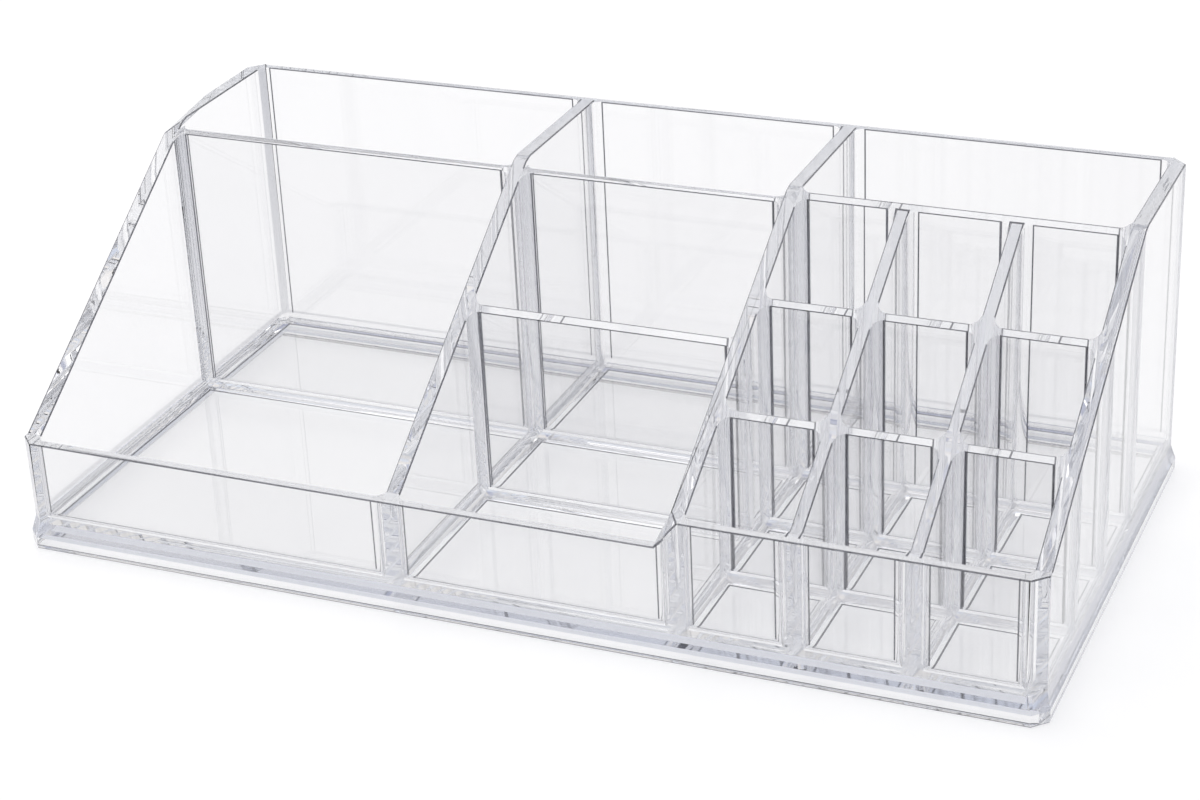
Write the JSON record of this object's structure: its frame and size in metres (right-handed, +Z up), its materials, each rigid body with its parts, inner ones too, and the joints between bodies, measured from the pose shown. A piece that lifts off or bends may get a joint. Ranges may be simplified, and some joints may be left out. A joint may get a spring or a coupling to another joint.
{
  "type": "vanity organizer",
  "caption": "Clear plastic countertop organizer with open bays, a row of tall rear slots and a grid of upright lipstick cells behind sloping sides.",
  "frame": {"origin": "middle of the footprint, on the surface the organizer stands on", "axes": "+Z up, +X to the right along the width seen from the front, front towards -Y"},
  "size_m": [0.3024, 0.1534, 0.0965],
  "materials": {
    "clear_panel": "polished clear acrylic",
    "clear_base": "polished clear acrylic"
  },
  "bodies": {
    "root": {"foot_frame": "clear_base", "base_tray": "clear_base", "left_side_wall": "clear_panel", "right_side_wall": "clear_panel", "back_wall": "clear_panel", "left_divider": "clear_panel", "right_divider": "clear_panel", "lipstick_divider_left": "clear_panel", "lipstick_divider_right": "clear_panel", "left_front_wall": "clear_panel", "middle_front_wall": "clear_panel", "right_front_wall": "clear_panel", "left_rear_cross_wall": "clear_panel", "middle_rear_cross_wall": "clear_panel", "middle_front_cross_wall": "clear_panel", "lipstick_rear_wall": "clear_panel", "cell_wall_rear_left": "clear_panel", "cell_wall_rear_middle": "clear_panel", "cell_wall_rear_right": "clear_panel", "cell_wall_front_left": "clear_panel", "cell_wall_front_middle": "clear_panel", "cell_wall_front_right": "clear_panel"}
  },
  "joints": []
}
